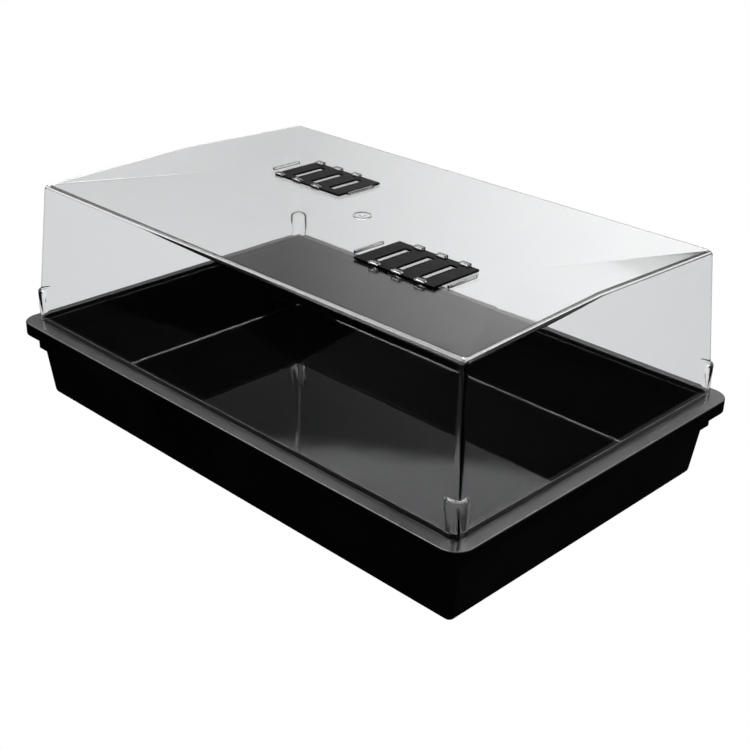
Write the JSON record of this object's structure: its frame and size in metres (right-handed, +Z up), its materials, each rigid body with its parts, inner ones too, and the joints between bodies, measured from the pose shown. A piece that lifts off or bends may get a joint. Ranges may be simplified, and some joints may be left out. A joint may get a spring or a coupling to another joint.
{
  "type": "humidity dome tray",
  "caption": "Deep black seed tray with a clear lift-off dome whose flat roof carries sliding slotted vent grilles.",
  "frame": {"origin": "centre of the tray's footprint, on the ground under it", "axes": "+X along the tray's length, +Y across it, +Z up"},
  "size_m": [0.59, 0.386, 0.2301],
  "materials": {
    "tray_black": "satin moulded black",
    "dome_clear": "clear moulded styrene",
    "grille_black": "satin moulded black"
  },
  "bodies": {
    "tray": {"tray": "tray_black"},
    "dome": {"dome": "dome_clear"},
    "rear_vent": {"rear_vent_grille": "grille_black"},
    "front_vent": {"front_vent_grille": "grille_black"}
  },
  "joints": [
    {"name": "dome_lift", "type": "slide", "parent": "tray", "child": "dome", "axis": [0, 0, 1], "range_m": [0, 0.12]},
    {"name": "rear_vent_slide", "type": "slide", "parent": "dome", "child": "rear_vent", "axis": [1, 0, 0], "range_m": [-0.0125, 0]},
    {"name": "front_vent_slide", "type": "slide", "parent": "dome", "child": "front_vent", "axis": [1, 0, 0], "range_m": [-0.008, 0.0045]}
  ]
}
